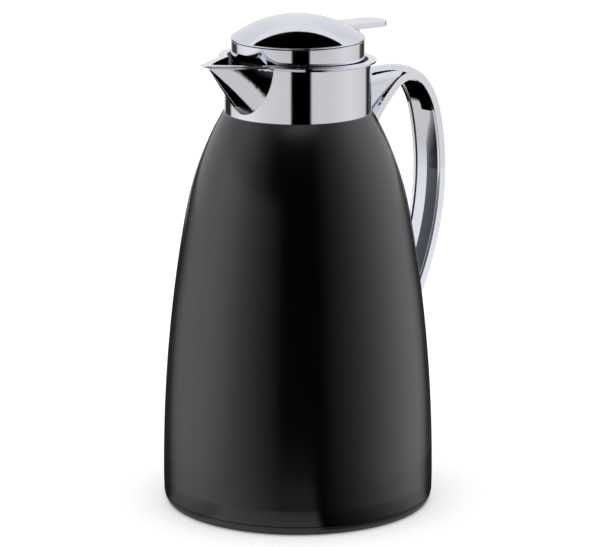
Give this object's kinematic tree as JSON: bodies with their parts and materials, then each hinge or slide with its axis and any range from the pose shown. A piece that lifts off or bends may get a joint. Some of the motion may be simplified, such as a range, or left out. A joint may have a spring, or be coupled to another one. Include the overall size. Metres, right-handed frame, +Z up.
{
  "type": "vacuum jug",
  "caption": "Insulated vacuum jug with a tapered black body, chrome pouring collar, screw stopper with a sprung thumb-lever lid, and a chrome loop handle.",
  "frame": {"origin": "centre of the round base on the surface that the jug stands on", "axes": "+Z up along the body's axis, -X towards the spout, +X towards the handle"},
  "size_m": [0.1689, 0.14, 0.2544],
  "materials": {
    "black_paint": "satin black paint",
    "black_plastic": "fine matte black",
    "chrome": "polished",
    "steel": "plain",
    "rubber": "matte",
    "silvered_glass": "silvered on the vacuum side",
    "foam": "open foam"
  },
  "bodies": {
    "jug": {"body_shell": "black_paint", "base_cap": "black_plastic", "base_ring": "black_plastic", "base_screw_1": "steel", "base_screw_2": "steel", "base_screw_3": "steel", "foot_pad": "rubber", "support_cup": "black_plastic", "flask_cushion": "rubber", "flask_outer_wall": "silvered_glass", "flask_inner_wall": "silvered_glass", "flask_spacer_1": "foam", "flask_spacer_2": "foam", "flask_spacer_3": "foam", "lip_seal": "rubber", "spout_collar": "chrome", "neck_ring": "black_plastic", "collar_nut": "black_plastic", "handle_outer_shell": "chrome", "handle_inner_strip": "chrome", "handle_upper_screw_left": "steel", "handle_upper_screw_right": "steel", "handle_lower_screw": "steel", "handle_washer": "black_plastic"},
    "seal_ring": {"stopper_seal": "rubber"},
    "stopper": {"stopper_plug": "black_plastic", "stopper_band": "chrome", "stopper_insulation": "foam", "stopper_end_cap": "black_plastic", "hinge_pin": "steel", "hinge_spring": "steel"},
    "lid": {"lid_cover": "chrome", "lid_inner_plate": "black_plastic", "lid_seal": "rubber", "lid_screw_left": "steel", "lid_screw_right": "steel"}
  },
  "joints": [
    {"name": "stopper_rise", "type": "slide", "parent": "jug", "child": "seal_ring", "axis": [0, 0, 1], "range_m": [0, 0.004]},
    {"name": "stopper_turn", "type": "hinge", "parent": "seal_ring", "child": "stopper", "pos_m": [0, 0, 0.22], "axis": [0, 0, 1], "range_deg": [0, 90]},
    {"name": "lid_hinge", "type": "hinge", "parent": "stopper", "child": "lid", "pos_m": [0.0365, 0, 0.2386], "axis": [0, 1, 0], "range_deg": [0, 40], "stiffness_Nm_per_rad": 0.07, "springref_deg": -24.64, "deforming": ["hinge_spring"]}
  ],
  "couplings": [
    {"joint": "stopper_rise", "follows": "stopper_turn", "m_per_rad": 0.0025465}
  ]
}
